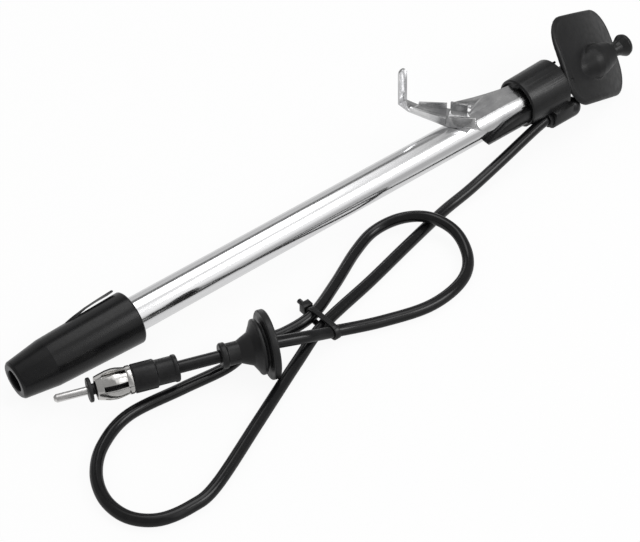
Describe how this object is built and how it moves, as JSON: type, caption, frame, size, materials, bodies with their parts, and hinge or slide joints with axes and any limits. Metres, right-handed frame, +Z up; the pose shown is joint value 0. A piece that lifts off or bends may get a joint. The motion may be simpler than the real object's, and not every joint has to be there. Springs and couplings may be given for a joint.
{
  "type": "car antenna",
  "caption": "Retractable car wing antenna: bright tube with telescopic mast, sloped rubber wing seal, folded bracket, drain boot, and a tied cable with grommet and aerial plug.",
  "frame": {"origin": "on the floor, under the middle of the antenna's box without its loose cable", "axes": "+X along the tube from the drain boot to the mast knob, which rises 2.5 degrees above it; +Z up; the loose cable lies on the -Y side"},
  "size_m": [0.3126, 0.1079, 0.0413],
  "materials": {
    "bright_tube": "polished, with faint draw lines",
    "liner_plastic": "natural plastic",
    "boot_plastic": "semi-gloss black moulding",
    "bracket_steel": "bright zinc-plated sheet",
    "shell_plastic": "semi-gloss black moulding",
    "collar_plastic": "satin black moulding",
    "contact_brass": "bright",
    "core_copper": "bare copper",
    "neck_metal": "blackened, threaded",
    "ring_metal": "blackened",
    "seal_rubber": "matt moulded rubber",
    "mast_chrome": "polished",
    "knob_plastic": "semi-gloss black",
    "ferrule_rubber": "black",
    "cable_jacket": "smooth black jacket",
    "tie_nylon": "black nylon",
    "grommet_rubber": "matt moulded rubber",
    "sleeve_rubber": "black moulded",
    "plug_nickel": "nickel plated",
    "insulator_plastic": "black",
    "pin_nickel": "nickel plated"
  },
  "bodies": {
    "root": {"protective_tube": "bright_tube", "insulating_liner": "liner_plastic", "drain_boot": "boot_plastic", "mounting_bracket": "bracket_steel", "clamp_shell": "shell_plastic", "head_collar": "collar_plastic", "mast_bush": "liner_plastic", "contact_sleeve": "contact_brass", "core_lead": "core_copper", "neck_tube": "neck_metal", "lock_ring": "ring_metal", "claw_washer": "ring_metal", "fender_seal": "seal_rubber", "cable_ferrule": "ferrule_rubber", "antenna_cable": "cable_jacket", "cable_tie": "tie_nylon", "grommet": "grommet_rubber", "plug_sleeve": "sleeve_rubber", "braid_crimp": "plug_nickel", "plug_shell": "plug_nickel", "plug_insulator": "insulator_plastic", "plug_pin": "pin_nickel"},
    "section_1": {"mast_section_1": "mast_chrome", "spring_bush_1": "contact_brass"},
    "section_2": {"mast_section_2": "mast_chrome", "spring_bush_2": "contact_brass"},
    "section_3": {"mast_section_3": "mast_chrome", "spring_bush_3": "contact_brass"},
    "rod": {"mast_rod": "mast_chrome", "spring_bush_4": "contact_brass", "mast_knob": "knob_plastic"}
  },
  "joints": [
    {"name": "section_1_slide", "type": "slide", "parent": "root", "child": "section_1", "axis": [0.999, 0, 0.0436], "range_m": [0, 0.205]},
    {"name": "section_2_slide", "type": "slide", "parent": "section_1", "child": "section_2", "axis": [0.999, 0, 0.0436], "range_m": [0, 0.247]},
    {"name": "section_3_slide", "type": "slide", "parent": "section_2", "child": "section_3", "axis": [0.999, 0, 0.0436], "range_m": [0, 0.245]},
    {"name": "rod_slide", "type": "slide", "parent": "section_3", "child": "rod", "axis": [0.999, 0, 0.0436], "range_m": [0, 0.243]}
  ]
}
